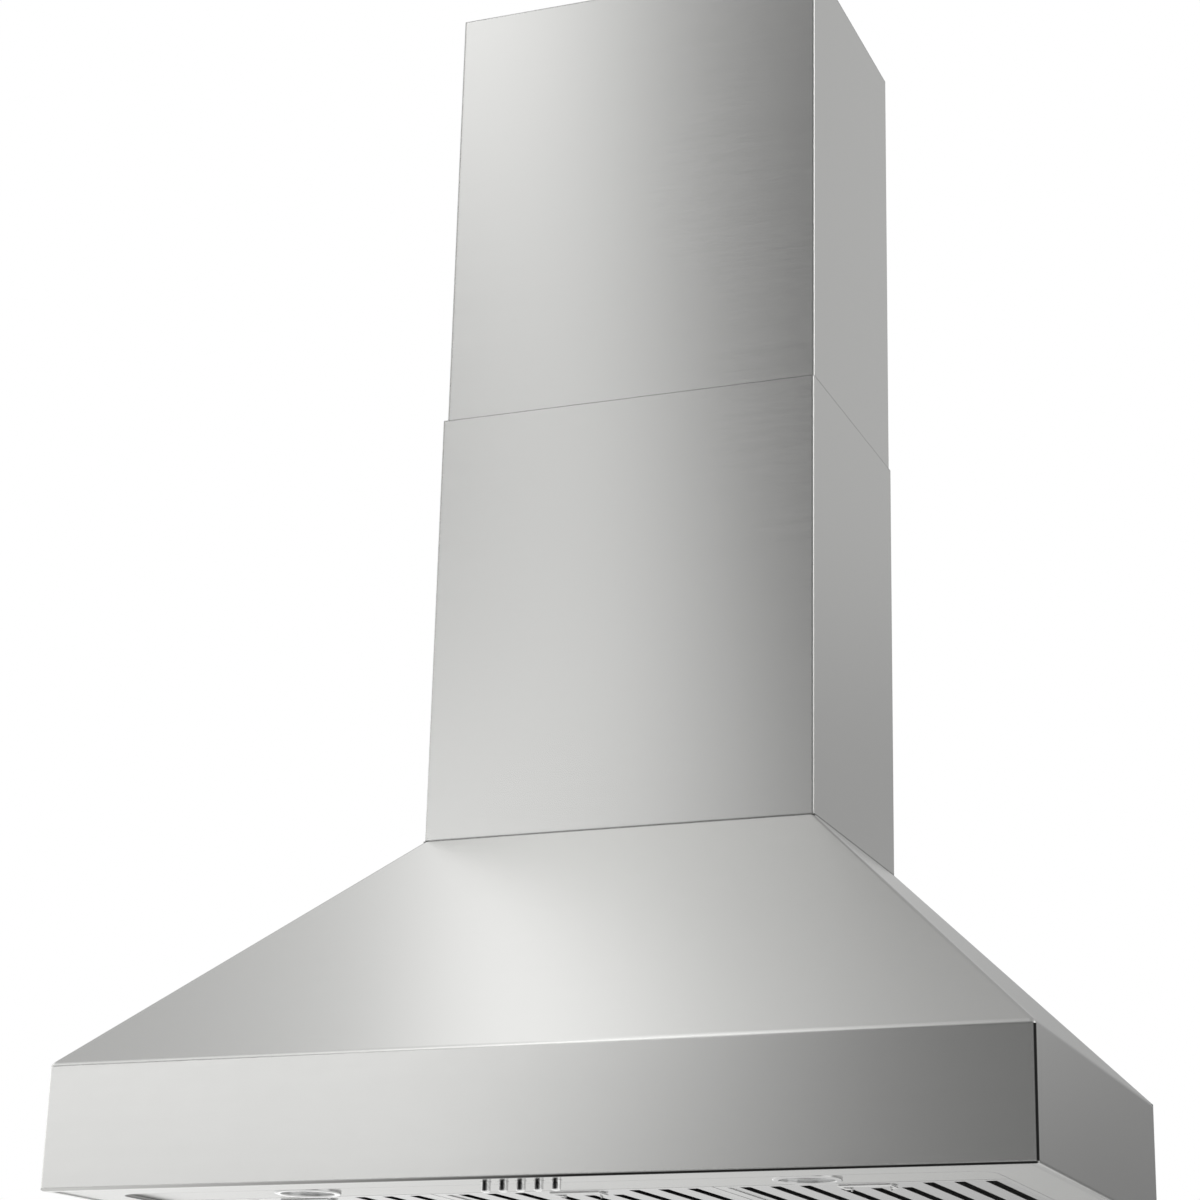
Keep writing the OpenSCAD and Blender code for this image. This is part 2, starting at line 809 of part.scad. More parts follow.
// Duct collar on its flange: tube, stop ring under the flaps, and holes for the damper pin
module exhaust_collar() {
    foot = collar_base + flange_t;
    stop_z = damper_z - flap_t / 2 - loose;
    color("silver") at_rim() translate([0, collar_y, 0]) difference() {
        translate([0, 0, foot]) cylinder(r = collar_r, h = collar_base + collar_h - foot);
        translate([0, 0, foot - cut]) cylinder(r = flap_r - 2 * collar_t, h = collar_h + 2 * cut);
        translate([0, 0, stop_z]) cylinder(r = collar_r - collar_t, h = collar_h);
        translate([0, 0, foot - cut]) cylinder(r = collar_r - collar_t, h = stop_z - collar_t - foot + cut);
        translate([0, collar_r + cut, damper_z]) rotate([90, 0, 0])
            cylinder(r = damper_bore, h = 2 * (collar_r + cut));
    }
}

module damper_pin() {
    color("gainsboro") at_rim() translate([0, collar_y + collar_r, damper_z])
        rotate([90, 0, 0]) cylinder(r = damper_pin_r, h = 2 * collar_r);
}

// Half-round damper flap with its knuckles on the pin, side is -1 or 1
module damper_flap(side) {
    knuckle_l = flap_r / 6;
    knuckle_shares = side < 0 ? [-3.5, -0.5, 2.5] : [-2, 1, 4];
    color("gray") at_rim() translate([0, collar_y, damper_z]) difference() {
        union() {
            intersection() {
                translate([0, 0, -flap_t / 2]) cylinder(r = flap_r, h = flap_t);
                translate([side * (flap_gap + flap_r) - flap_r, -flap_r, -flap_t])
                    cube([2 * flap_r, 2 * flap_r, 2 * flap_t]);
            }
            for (k = knuckle_shares) {
                translate([0, (k + 0.5) * knuckle_l, 0]) rotate([90, 0, 0])
                    cylinder(r = knuckle_r, h = knuckle_l - 2 * loose);
                translate([(side - 1) * flap_gap / 2, (k - 0.5) * knuckle_l + 2 * loose, -flap_t / 2])
                    cube([flap_gap + (side > 0 ? flap_t : 0), knuckle_l - 2 * loose, flap_t]);
            }
        }
        translate([0, flap_r + cut, 0]) rotate([90, 0, 0])
            cylinder(r = damper_bore, h = 2 * (flap_r + cut));
    }
}

// Open steel box for the wiring, with a knockout on top and an ear at each front corner
module wiring_box() {
    knockout_r = bushing_flange;
    color("lightgray") at_rim() difference() {
        translate([box_x, -back_t, box_z]) {
            difference() {
                translate([0, -box_d, 0]) cube([box_w, box_d, box_h]);
                translate([sheet, -box_d - cut, sheet])
                    cube([box_w - 2 * sheet, box_d - sheet + cut, box_h - 2 * sheet]);
                translate([box_w / 2, -box_d / 2, box_h - sheet - cut])
                    cylinder(r = knockout_r, h = sheet + 2 * cut);
            }
            for (x = [0, box_w - box_ear], z = [0, box_h - box_ear])
                translate([x, -box_d, z]) cube([box_ear, sheet, box_ear]);
        }
        wiring_screw_places() translate([0, 0, -2 * sheet - cut])
            cylinder(r = machine_r + loose / 2, h = 2 * sheet + 2 * cut);
    }
}

module wiring_screw_places() {
    for (x = [box_ear / 2, box_w - box_ear / 2], z = [box_ear / 2, box_h - box_ear / 2])
        translate([box_x + x, -back_t - box_d - sheet, box_z + z]) rotate([90, 0, 0]) children();
}

module wiring_box_cover() {
    color("lightgray") at_rim() difference() {
        translate([box_x, -back_t - box_d - sheet, box_z]) cube([box_w, sheet, box_h]);
        wiring_screw_places() translate([0, 0, -sheet - cut])
            cylinder(r = machine_r + loose / 2, h = sheet + 2 * cut);
    }
}

// Grommet that the cord passes through in the canopy's top
module cord_bushing() {
    lip = 2 * sheet;
    profile = [
        [bushing_bore, -lip - sheet], [bushing_flange, -lip - sheet], [bushing_flange, -sheet],
        [bushing_r, -sheet], [bushing_r, 0], [bushing_flange, 0], [bushing_flange, lip], [bushing_bore, lip]
    ];
    color("black") at_rim() translate([bushing_x, bushing_y, canopy_h]) rotate_extrude() polygon(profile);
}

// Light: bezel with a rolled rim, lens and housing, side is -1 or 1
module at_light(side) {
    at_rim() translate([side * light_x, light_y, 0]) children();
}

module light_bezel(side) {
    rim_z0 = deck_z - bezel_t;
    color("whitesmoke") at_light(side) rotate_extrude() union() {
        translate([lamp_bore, rim_z0 + bezel_t / 2]) square([bezel_rim, bezel_t / 2]);
        translate([lamp_bore + bezel_t / 2, rim_z0]) square([bezel_rim - bezel_t, bezel_t]);
        for (r = [lamp_bore + bezel_t / 2, bezel_r - bezel_t / 2])
            translate([r, rim_z0 + bezel_t / 2]) circle(r = bezel_t / 2);
        translate([sleeve_r - sleeve_t, rim_z0 + bezel_t / 2])
            square([sleeve_t, bezel_t / 2 + sheet + lens_t + 2 * sheet]);
    }
}

module light_lens(side) {
    color("white") at_light(side) translate([0, 0, lens_z])
        cylinder(r = sleeve_r - sleeve_t - running, h = lens_t);
}

module light_housing(side) {
    color("darkgray") at_light(side) difference() {
        translate([0, 0, deck_top]) cylinder(r = bezel_r, h = lamp_h);
        translate([0, 0, deck_top - cut]) cylinder(r = sleeve_r + loose, h = lamp_h - sheet + cut);
    }
}

// Round boards with the light sources, one in each housing
module led_boards() {
    board_t = 1.6;
    color("whitesmoke")
        for (side = [-1, 1])
            at_light(side) translate([0, 0, deck_top + lamp_h - sheet - board_t])
                cylinder(r = sleeve_r, h = board_t);
}

// Switch block above the front border, with a stepped bore for each button
function button_x(i) = (i - (button_count - 1) / 2) * button_pitch;

module switch_housing() {
    color("dimgray") at_rim() difference() {
        translate([-switch_w / 2, button_y - switch_d / 2, pan_top]) cube([switch_w, switch_d, switch_h]);
        for (i = [0 : button_count - 1]) translate([button_x(i), button_y, pan_top]) {
            translate([0, 0, -cut]) cylinder(r = button_collar_r + loose, h = switch_pocket + cut);
            cylinder(r = button_stem_r + loose, h = switch_h - sheet);
        }
    }
}

// Push button: domed barrel, retaining collar and stem
module button(i) {
    dome = button_r / 4;
    stem_top = pan_top + switch_h - 2 * sheet - button_travel;
    color("whitesmoke") at_rim() translate([button_x(i), button_y, 0]) {
        translate([0, 0, button_bottom + dome])
            cylinder(r = button_r, h = pan_top + loose - button_bottom - dome);
        translate([0, 0, button_bottom]) cylinder(r1 = button_r - dome, r2 = button_r, h = dome);
        translate([0, 0, pan_top + loose]) cylinder(r = button_collar_r, h = button_collar_h);
        translate([0, 0, pan_top]) cylinder(r = button_stem_r, h = stem_top - pan_top);
    }
}

// Filters: place, from -1 at the left to 1 at the right
module at_filter(place) {
    at_rim() translate([place * filter_pitch, filter_mid_y, deck_z]) children();
}

// Channel frame with its folded lips and the tongue that hooks over the ledge
module filter_frame(place) {
    w = filter_w;
    d = filter_d;
    color("gainsboro") at_filter(place) {
        difference() {
            translate([-w / 2, -d / 2, 0]) cube([w, d, filter_h]);
            translate([-w / 2 + filter_t, -d / 2 + filter_t, filter_t])
                cube([w - 2 * filter_t, d - 2 * filter_t, filter_h - 2 * filter_t]);
            translate([-w / 2 + frame_lip, -d / 2 + frame_lip, -cut])
                cube([w - 2 * frame_lip, d - 2 * frame_lip, filter_h + 2 * cut]);
        }
        span_box(
            [-w / 2 + frame_lip, d / 2 - filter_t, sheet + loose],
            [w / 2 - frame_lip, d / 2 + tongue_reach, sheet + loose + filter_t]
        );
    }
}

function slot_x(k) = (k - (slot_count - 1) / 2) * slot_pitch;
function slot_is_short(k) = abs(slot_x(k)) < slot_count * slot_pitch / 6;
function slot_front(k) = -filter_d / 2 + slot_margin + (slot_is_short(k) ? handle_field : 0);
slot_back = filter_d / 2 - slot_margin;

// Pressed lower sheet: slots with upturned edges, and a plain field for the handle
module filter_face(place) {
    w = filter_w - 2 * filter_t;
    d = filter_d - 2 * filter_t;
    color("silver") at_filter(place) difference() {
        union() {
            translate([-w / 2, -d / 2, filter_t]) cube([w, d, filter_t]);
            for (k = [0 : slot_count - 1])
                span_box(
                    [slot_x(k) - slot_w / 2 - filter_t, slot_front(k), filter_t],
                    [slot_x(k) + slot_w / 2 + filter_t, slot_back, filter_t + slot_lip]
                );
        }
        for (k = [0 : slot_count - 1])
            span_box(
                [slot_x(k) - slot_w / 2, slot_front(k) - filter_t, 0],
                [slot_x(k) + slot_w / 2, slot_back + filter_t, filter_t + slot_lip + cut]
            );
    }
}

// Two ears under the plain field that hold the handle's wire ends
module handle_ears(place) {
    color("silver") at_rim() translate([place * filter_pitch, handle_pivot_y, handle_z])
        for (side = [-1, 1]) translate([side * ear_x, 0, 0]) difference() {
            union() {
                translate([-ear_t / 2, 0, 0]) rotate([0, 90, 0]) cylinder(r = ear_r, h = ear_t);
                translate([-ear_t / 2, -ear_r, 0]) cube([ear_t, 2 * ear_r, face_z - handle_z]);
            }
            translate([-ear_t, 0, 0]) rotate([0, 90, 0]) cylinder(r = wire_r + running, h = 2 * ear_t);
            translate([-ear_t, -ear_r - cut, face_z - handle_z]) cube([2 * ear_t, 2 * (ear_r + cut), ear_r]);
        }
}

// Upper baffles, one upturned channel over each slot
module filter_baffles(place) {
    d = filter_d - 2 * filter_t;
    top = filter_h - filter_t;
    color("darkgray") at_filter(place)
        for (k = [0 : slot_count - 1]) translate([slot_x(k), 0, 0]) difference() {
            span_box([-baffle_w / 2, -d / 2, top - baffle_h], [baffle_w / 2, d / 2, top]);
            span_box(
                [-baffle_w / 2 + filter_t, -d / 2 - cut, top - baffle_h - cut],
                [baffle_w / 2 - filter_t, d / 2 + cut, top - filter_t]
            );
        }
}

// Wire handle folded flat, its ends turned into the ears
module filter_handle(place) {
    color("whitesmoke") at_rim() translate([place * filter_pitch, handle_pivot_y, handle_z]) {
        translate([-arm_x, -handle_reach, 0]) rotate([0, 90, 0]) cylinder(r = wire_r, h = 2 * arm_x);
        for (side = [-1, 1]) {
            translate([side * arm_x, 0, 0]) rotate([90, 0, 0]) cylinder(r = wire_r, h = handle_reach);
            translate([side * arm_x, 0, 0]) rotate([0, -side * 90, 0]) cylinder(r = wire_r, h = wire_end);
            for (y = [0, -handle_reach]) translate([side * arm_x, y, 0]) sphere(r = wire_r);
        }
    }
}

canopy_front();
canopy_side(-1);  // canopy_side_left
canopy_side(1);  // canopy_side_right
canopy_top();
back_panel();
underside_pan();
chimney_seat();
filter_clips();
lower_chimney();
upper_chimney();
chimney_bracket();
bracket_screws();
scroll_wrap();
scroll_side(-1);  // scroll_side_left
scroll_side(1);  // scroll_side_right
impeller_disc();
impeller_blades();
motor_shaft();
shaft_nut();
motor();
motor_bracket();
capacitor();
capacitor_clamp();
collar_flange();
exhaust_collar();
damper_pin();
damper_flap(-1);  // damper_flap_left
damper_flap(1);  // damper_flap_right
wiring_box();
wiring_box_cover();
cord_bushing();
machine_screws();
light_bezel(-1);  // light_bezel_left
light_bezel(1);  // light_bezel_right
light_lens(-1);  // light_lens_left
light_lens(1);  // light_lens_right
light_housing(-1);  // light_housing_left
light_housing(1);  // light_housing_right
led_boards();
switch_housing();
button(0);  // button_1
button(1);  // button_2
button(2);  // button_3
button(3);  // button_4
button(4);  // button_5
filter_frame(-1);  // filter_frame_left
filter_frame(0);  // filter_frame_centre
filter_frame(1);  // filter_frame_right
filter_face(-1);  // filter_face_left
filter_face(0);  // filter_face_centre
filter_face(1);  // filter_face_right
filter_baffles(-1);  // filter_baffles_left
filter_baffles(0);  // filter_baffles_centre
filter_baffles(1);  // filter_baffles_right
handle_ears(-1);  // handle_ears_left
handle_ears(0);  // handle_ears_centre
handle_ears(1);  // handle_ears_right
filter_handle(-1);  // filter_handle_left
filter_handle(0);  // filter_handle_centre
filter_handle(1);  // filter_handle_right
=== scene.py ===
import json
import math
from functools import partial

import bmesh
import bpy
from mathutils import Matrix, Vector


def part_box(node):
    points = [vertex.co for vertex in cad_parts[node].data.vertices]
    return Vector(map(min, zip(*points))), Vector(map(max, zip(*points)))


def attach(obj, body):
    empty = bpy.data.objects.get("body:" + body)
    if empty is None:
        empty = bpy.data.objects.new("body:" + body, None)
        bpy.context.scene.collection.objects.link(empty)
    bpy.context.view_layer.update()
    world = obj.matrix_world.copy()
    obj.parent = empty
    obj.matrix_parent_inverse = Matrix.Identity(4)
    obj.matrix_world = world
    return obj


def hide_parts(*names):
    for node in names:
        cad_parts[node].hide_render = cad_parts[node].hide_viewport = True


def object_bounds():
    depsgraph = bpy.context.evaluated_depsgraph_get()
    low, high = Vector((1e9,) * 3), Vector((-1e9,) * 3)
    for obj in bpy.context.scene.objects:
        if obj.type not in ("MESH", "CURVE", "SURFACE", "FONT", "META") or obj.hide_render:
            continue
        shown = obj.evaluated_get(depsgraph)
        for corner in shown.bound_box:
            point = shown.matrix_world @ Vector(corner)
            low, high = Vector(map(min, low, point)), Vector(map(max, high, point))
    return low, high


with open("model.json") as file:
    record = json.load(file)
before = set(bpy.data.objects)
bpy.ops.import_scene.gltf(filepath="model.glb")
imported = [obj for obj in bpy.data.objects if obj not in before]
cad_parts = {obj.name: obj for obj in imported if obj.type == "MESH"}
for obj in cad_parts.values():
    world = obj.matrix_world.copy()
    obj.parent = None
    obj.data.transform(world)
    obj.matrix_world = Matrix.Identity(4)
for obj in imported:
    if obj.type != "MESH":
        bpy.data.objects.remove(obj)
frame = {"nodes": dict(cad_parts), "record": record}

cad_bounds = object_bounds()

# The photograph's camera, found by fitting the hood's edges: its place is in metres and its
# sensor in millimetres
PICTURE_WIDTH = 1200
FOCAL_PIXELS = 2737.8
CENTRE_PIXEL = (697.6, 626.6)
CAMERA_PLACE = Vector((0.9393, -2.6571, -0.4598))
CAMERA_PAN = math.radians(19.82)
CAMERA_TILT = math.radians(17.77)
CAMERA_ROLL = math.radians(-0.78)
SENSOR_WIDTH = 36.0

# Height of the hood's rim above the floor, as over a cooktop
RIM_HEIGHT = 1.65
FLOOR_SIZE = 14.0
FLOOR_TONES = ((0.80, 0.80, 0.79), (0.84, 0.84, 0.83))

# The one lamp, a soft box high up at the left
LAMP_PLACE = Vector((-3.8, -1.2, 1.6))
LAMP_TARGET = Vector((0.0, -0.2, 0.3))
LAMP_WIDTH = 1.6
LAMP_HEIGHT = 2.2
LAMP_POWER = 12

# Turn of a direction, in degrees: from the back over the left, the front and the right
HORIZON = (-180, 180)
# Least rise of a direction that its lean to the side is worked out from
LEAST_RISE = 0.05
# Blue in the studio's light, over its red and green
STUDIO_BLUE = 0.995

# The canopy's folds: radius, steps round each one, and the smallest angle that is a fold
FOLD_RADIUS = 0.003
FOLD_STEPS = 6
FOLD_ANGLE = math.radians(5)
# A distance that counts as touching
NEAR = 0.00001

WHITE = (1.0, 1.0, 1.0, 1.0)
BLACK = (0.0, 0.0, 0.0, 1.0)
SLOT_SHADOW = (0.008, 0.008, 0.008, 1.0)
LENS_PAINTED_REFLECTION = (0.10, 0.10, 0.10, 1.0)

# Most values of a noise lie between these
NOISE_SPAN = (0.3, 0.7)
# Shares of fine and broad lines in the brushed grain
FINE_SHARE = 0.75
BROAD_SHARE = 0.25
# How round the edges of castings, mouldings and the canopy look
SMALL_EDGE = 0.0004
BEVEL_SAMPLES = 4
# Likeness of the rounded normal to the flat one, from the middle of an edge to its end
EDGE_SPAN = (0.95, 0.99)
BUMP_DEPTH = 0.0001

# The sockets of a Mix node for each kind of value: first, second and result
MIX_SOCKETS = {"VECTOR": (4, 5, 1), "RGBA": (6, 7, 2)}


def add(tree, kind, inputs=None, **settings):
    """A new node: settings are its own properties, inputs are values or sockets to link."""
    node = tree.nodes.new(kind)
    for key, value in settings.items():
        setattr(node, key, value)
    for key, value in (inputs or {}).items():
        socket = node.inputs[key]
        if isinstance(value, bpy.types.NodeSocket):
            tree.links.new(value, socket)
        else:
            socket.default_value = value
    return node


def maths(tree, operation, *values):
    return add(tree, "ShaderNodeMath", dict(enumerate(values)), operation=operation).outputs[0]


def vector_maths(tree, operation, *values):
    return add(tree, "ShaderNodeVectorMath", dict(enumerate(values)), operation=operation)


def squared(tree, value):
    return maths(tree, "MULTIPLY", value, value)


def parts_of(tree, vector):
    """The X, Y and Z of a vector, as outputs by name."""
    return add(tree, "ShaderNodeSeparateXYZ", {"Vector": vector}).outputs


def map_range(tree, value, span, target=(0.0, 1.0)):
    """A value carried from one span to another, held at its ends."""
    inputs = {
        "Value": value,
        "From Min": span[0],
        "From Max": span[1],
        "To Min": target[0],
        "To Max": target[1],
    }
    return add(tree, "ShaderNodeMapRange", inputs).outputs["Result"]


def mix(tree, kind, factor, first, second):
    first_socket, second_socket, result = MIX_SOCKETS[kind]
    inputs = {0: factor, first_socket: first, second_socket: second}
    return add(tree, "ShaderNodeMix", inputs, data_type=kind).outputs[result]


def mix_colour(tree, factor, first, second):
    return mix(tree, "RGBA", factor, first, second)


def opaque(colour):
    return (*colour, 1.0)


def scaled(colour, factor):
    return opaque(min(1.0, part * factor) for part in colour)


def new_material(name):
    material = bpy.data.materials.new(name)
    material.use_nodes = True
    material.node_tree.nodes.clear()
    return material, material.node_tree


def finish_material(tree, shader):
    out = add(tree, "ShaderNodeOutputMaterial")
    tree.links.new(shader.outputs[0], out.inputs["Surface"])


def object_places(tree):
    return add(tree, "ShaderNodeTexCoord").outputs["Object"]


def grain_places(tree, along, across):
    """Object coordinates for brushed lines: level lines on upright faces, lines along X on level ones."""
    level_limit = 0.9
    coords = add(tree, "ShaderNodeTexCoord")
    places = coords.outputs["Object"]
    upright = add(tree, "ShaderNodeMapping", {"Vector": places, "Scale": (along, along, across)})
    level = add(tree, "ShaderNodeMapping", {"Vector": places, "Scale": (along, across, 0.0)})
    steepness = maths(tree, "ABSOLUTE", parts_of(tree, coords.outputs["Normal"])["Z"])
    is_level = maths(tree, "GREATER_THAN", steepness, level_limit)
    return mix(tree, "VECTOR", is_level, upright.outputs[0], level.outputs[0])


def noise(tree, place, scale, detail=2.0, roughness=0.5):
    inputs = {"Vector": place, "Scale": scale, "Detail": detail, "Roughness": roughness}
    return add(tree, "ShaderNodeTexNoise", inputs).outputs[0]


def rounded_normal(tree, radius):
    return add(tree, "ShaderNodeBevel", {"Radius": radius}, samples=BEVEL_SAMPLES).outputs[0]


def bumped(tree, height, normal, strength):
    inputs = {"Strength": strength, "Distance": BUMP_DEPTH, "Height": height, "Normal": normal}
    return add(tree, "ShaderNodeBump", inputs).outputs[0]


def varied(tree, factor, colour, amount):
    """The colour, darker by the amount where the factor is 0 and lighter where it is 1."""
    return mix_colour(tree, factor, scaled(colour, 1 - amount), scaled(colour, 1 + amount))


def edge_mask(tree, rounded):
    """1 along edges and 0 on open faces, from the rounded normal."""
    flat = add(tree, "ShaderNodeNewGeometry").outputs["Normal"]
    likeness = vector_maths(tree, "DOT_PRODUCT", rounded, flat).outputs["Value"]
    return map_range(tree, likeness, EDGE_SPAN, (1.0, 0.0))


def edge_tone_and_painted_light(tree, rounded, tone, edge_tone, amount):
    """The tone, changed by the amount to another one along edges, such as painted shade and highlight."""
    return mix_colour(tree, maths(tree, "MULTIPLY", edge_mask(tree, rounded), amount), tone, edge_tone)


# Mask of the painted dark reflection along the canopy's folds
def fold_mask(tree):
    """1 where a surface faces halfway between front and underside or side, as only a fold does.

    The folds under the sides count for less, as in the photograph.
    """
    upright_limit = 0.3
    side_share = 0.12
    gain = 7.0
    facing = parts_of(tree, add(tree, "ShaderNodeTexCoord").outputs["Normal"])
    sideways = squared(tree, facing["X"])
    forward = squared(tree, facing["Y"])
    down = squared(tree, maths(tree, "MINIMUM", facing["Z"], 0.0))
    # The slopes face up, so an upright fold counts only where nothing faces up
    is_upright = maths(tree, "LESS_THAN", maths(tree, "ABSOLUTE", facing["Z"]), upright_limit)
    upright = maths(tree, "MULTIPLY", sideways, is_upright)
    front = maths(tree, "MULTIPLY", forward, maths(tree, "ADD", down, upright))
    side = maths(tree, "MULTIPLY", maths(tree, "MULTIPLY", sideways, down), side_share)
    return maths(tree, "MINIMUM", maths(tree, "MULTIPLY", maths(tree, "ADD", front, side), gain), 1.0)


def brushed_steel(
    name, colour, roughness, anisotropy, streak=0.012, edge=0.0008, edge_shade=0.4, fold_painted_reflection=0.0,
    wall_painted_shade=0.0
):
    """Brushed sheet: fine level grain in colour, roughness and bump, faint clouds, painted edge light.

    edge_shade is the brightness of the edges over the sheet's, a painted shade below 1 and a painted
    highlight above 1. fold_painted_reflection is how far the folds along lower edges darken with a
    painted dark reflection, least at the left end, and wall_painted_shade how far upright walls darken
    with painted shade, as the insides of slots.
    """
    material, tree = new_material(name)
    fine = noise(tree, grain_places(tree, along=60.0, across=900.0), scale=1.0, detail=3.0, roughness=0.6)
    broad = noise(tree, grain_places(tree, along=3.0, across=200.0), scale=1.0)
    grain = maths(
        tree,
        "ADD",
        maths(tree, "MULTIPLY", fine, FINE_SHARE),
        maths(tree, "MULTIPLY", broad, BROAD_SHARE),
    )
    coords = object_places(tree)
    cloud = map_range(tree, noise(tree, coords, scale=3.5, detail=3.0), (0.35, 0.65), (0.0, 0.03))
    rounded = rounded_normal(tree, edge)
    tone = varied(tree, map_range(tree, grain, NOISE_SPAN), colour, streak)
    tone = mix_colour(tree, cloud, tone, scaled(colour, 0.8))
    # Painted shade along the edges where edge_shade is below 1, painted highlight where it is above 1
    tone = edge_tone_and_painted_light(tree, rounded, tone, scaled(colour, edge_shade), amount=0.9)
    # Painted shade on upright walls, as the insides of the slots
    if wall_painted_shade:
        normal = add(tree, "ShaderNodeNewGeometry").outputs["Normal"]
        steepness = maths(tree, "ABSOLUTE", parts_of(tree, normal)["Z"])
        wall = map_range(tree, steepness, (0.3, 0.7), (wall_painted_shade, 0.0))
        tone = mix_colour(tree, wall, tone, SLOT_SHADOW)
    # Painted dark reflection on the lower folds, fading out towards the left end
    if fold_painted_reflection:
        # From the left end to just right of the middle, in metres
        reach = map_range(tree, parts_of(tree, coords)["X"], (-0.42, 0.05), (0.0, fold_painted_reflection))
        tone = mix_colour(tree, maths(tree, "MULTIPLY", fold_mask(tree), reach), tone, BLACK)
    across = add(tree, "ShaderNodeCombineXYZ", {"X": 0.0, "Y": 0.05, "Z": 1.0})
    shader = add(
        tree,
        "ShaderNodeBsdfPrincipled",
        {
            "Base Color": tone,
            "Metallic": 1.0,
            "Roughness": map_range(tree, grain, NOISE_SPAN, (roughness - 0.015, roughness + 0.015)),
            "Anisotropic": anisotropy,
            "Tangent": across.outputs[0],
            "Normal": bumped(tree, fine, rounded, strength=0.015),
        },
    )
    finish_material(tree, shader)
    return material


def cast_metal(
    name, colour, roughness, mottle=0.08, grain_size=90.0, edge=SMALL_EDGE, front_shade=1.0
):
    """Zinc-coated, plated, aluminium or plain steel surface with a fine mottle and pale edges.

    front_shade darkens what faces straight to the front, as a polished face that mirrors a dark room:
    a painted dark reflection.
    """
    material, tree = new_material(name)
    coords = object_places(tree)
    cells = add(tree, "ShaderNodeTexVoronoi", {"Vector": coords, "Scale": grain_size}, feature="F1")
    spangle = add(tree, "ShaderNodeSeparateColor", {"Color": cells.outputs["Color"]}).outputs[0]
    fine = noise(tree, coords, scale=grain_size * 12, detail=3.0)
    mottled = maths(
        tree, "ADD", maths(tree, "MULTIPLY", spangle, 0.5), maths(tree, "MULTIPLY", fine, 0.5)
    )
    rounded = rounded_normal(tree, edge)
    tone = varied(tree, mottled, colour, mottle)
    tone = edge_tone_and_painted_light(tree, rounded, tone, scaled(colour, 1.25), amount=0.3)
    # Painted dark reflection on faces towards the front
    if front_shade < 1.0:
        is_front = map_range(tree, parts_of(tree, rounded)["Y"], (-0.97, -0.8), (1.0, 0.0))
        tone = mix_colour(tree, is_front, tone, scaled(colour, front_shade))
    shader = add(
        tree,
        "ShaderNodeBsdfPrincipled",
        {
            "Base Color": tone,
            "Metallic": 1.0,
            "Roughness": map_range(tree, mottled, (0.2, 0.8), (roughness - 0.06, roughness + 0.08)),
            "Normal": bumped(tree, fine, rounded, strength=0.1),
        },
    )
    finish_material(tree, shader)
    return material


def moulded(name, colour, roughness, mottle=0.1):
    """Moulded plastic, rubber or paint: an even colour with a fine texture and softened edges."""
    material, tree = new_material(name)
    coords = object_places(tree)
    fine = noise(tree, coords, scale=900.0)
    wide = noise(tree, coords, scale=22.5, detail=3.0)
    rounded = rounded_normal(tree, SMALL_EDGE)
    tone = varied(tree, wide, colour, mottle)
    tone = edge_tone_and_painted_light(tree, rounded, tone, scaled(colour, 1.5), amount=0.25)
    shader = add(
        tree,
        "ShaderNodeBsdfPrincipled",
        {
            "Base Color": tone,
            "Roughness": map_range(tree, wide, NOISE_SPAN, (roughness - 0.05, roughness + 0.05)),
            "Normal": bumped(tree, fine, rounded, strength=0.15),
        },
    )
    finish_material(tree, shader)
    return material


def lens_glass(name):
    """Frosted lens: a pale glass, finely stippled, darker in the middle with a painted dark reflection.
    """
    material, tree = new_material(name)
    stipple = noise(tree, object_places(tree), scale=1400.0, detail=1.0)
    bump = add(tree, "ShaderNodeBump", {"Strength": 0.3, "Distance": 0.0002, "Height": stipple})
    tone = mix_colour(tree, stipple, (0.80, 0.82, 0.82, 1.0), (0.88, 0.89, 0.89, 1.0))
    # Distance from the lens' axis, as a share of its width
    spread = add(tree, "ShaderNodeTexCoord").outputs["Generated"]
    centred = vector_maths(tree, "SUBTRACT", spread, (0.5, 0.5, 0.5)).outputs["Vector"]
    flat = vector_maths(tree, "MULTIPLY", centred, (1.0, 1.0, 0.0)).outputs["Vector"]
    reach = vector_maths(tree, "LENGTH", flat).outputs["Value"]
    # Painted dark reflection in the lens' middle
    middle = map_range(tree, reach, (0.1, 0.3), (1.0, 0.0))
    tone = mix_colour(tree, middle, tone, LENS_PAINTED_REFLECTION)
    shader = add(
        tree,
        "ShaderNodeBsdfPrincipled",
        {
            "Base Color": tone,
            "Roughness": map_range(tree, stipple, NOISE_SPAN, (0.08, 0.16)),
            "Transmission Weight": 0.25,
            "IOR": 1.49,
            "Normal": bump.outputs[0],
        },
    )
    finish_material(tree, shader)
    return material


